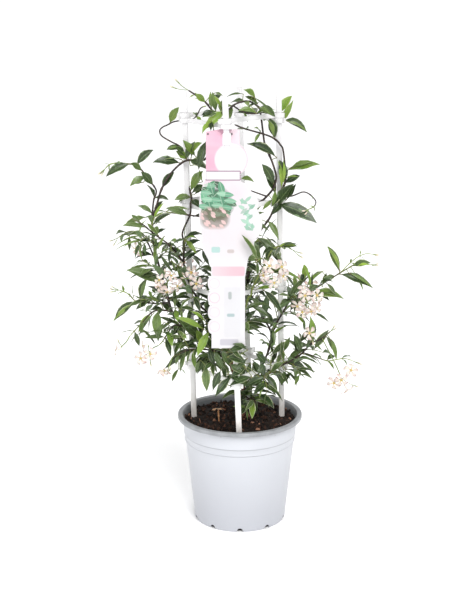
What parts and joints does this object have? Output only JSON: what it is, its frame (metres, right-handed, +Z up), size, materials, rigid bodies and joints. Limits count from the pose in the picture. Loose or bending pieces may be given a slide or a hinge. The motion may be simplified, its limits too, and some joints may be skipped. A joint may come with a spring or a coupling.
{
  "type": "potted star jasmine on a trellis",
  "caption": "Star jasmine climbing a white stick trellis in a round nursery pot, with a card label, opposite leaves, slender buds and clusters of small pale flowers.",
  "frame": {"origin": "on the pot's axis, at the underside of the pot, where it stands", "axes": "+Z up along the pot's axis, the plant's front with its label faces -Y, +X to the right as seen from the front"},
  "size_m": [0.3738, 0.2055, 0.6074],
  "materials": {
    "pot_plastic": "smooth, satin, cool white",
    "white_plastic": "satin white",
    "bark": "damp coarse bark and peat",
    "dry_petal": "dry and crumpled",
    "card": "coated card, semi gloss",
    "woody_stem": "reddish brown bark",
    "foliage": "glossy leaves",
    "petal": "soft matt petals"
  },
  "bodies": {
    "root": {"pot": "pot_plastic", "soil": "bark", "fallen_bloom": "dry_petal", "stake_front": "white_plastic", "stake_left": "white_plastic", "stake_right": "white_plastic", "stake_back": "white_plastic", "bar_1_front_left": "white_plastic", "bar_1_back_right": "white_plastic", "bar_1_front_right": "white_plastic", "bar_1_left_back": "white_plastic", "bar_2_front_left": "white_plastic", "bar_2_back_right": "white_plastic", "bar_2_front_right": "white_plastic", "bar_2_left_back": "white_plastic", "bar_3_front_left": "white_plastic", "bar_3_back_right": "white_plastic", "bar_3_front_right": "white_plastic", "bar_3_left_back": "white_plastic", "bar_4_front_left": "white_plastic", "bar_4_back_right": "white_plastic", "bar_4_front_right": "white_plastic", "bar_4_left_back": "white_plastic", "label": "card", "trunk": "woody_stem", "stem_right": "foliage", "stem_arch": "foliage", "stem_left": "foliage", "stem_outer_left": "foliage", "spray_left_high": "foliage", "loop_left": "foliage", "branch_across": "foliage", "branch_right_low": "foliage", "spray_right_front": "foliage", "branch_right_out": "foliage", "spray_right_out": "foliage", "spray_right_inner": "foliage", "spray_left_upper": "foliage", "spray_left_mid": "foliage", "spray_left_flower": "foliage", "spray_left_low": "foliage", "spray_left_bottom": "foliage", "spray_left_out": "foliage", "spray_front_low": "foliage", "spray_centre_low": "foliage", "spray_back_left": "foliage", "spray_back_right": "foliage", "spray_back_high": "foliage", "bloom_left_mid": "petal", "bloom_left_inner": "petal", "bloom_left_high": "petal", "bloom_left_out": "petal", "bloom_left_low": "petal", "bloom_left_bottom": "petal", "bloom_right_front": "petal", "bloom_right_mid": "petal", "bloom_right_low": "petal", "bloom_right_bottom": "petal", "bloom_back_left": "petal", "bloom_back_right": "petal"}
  },
  "joints": []
}
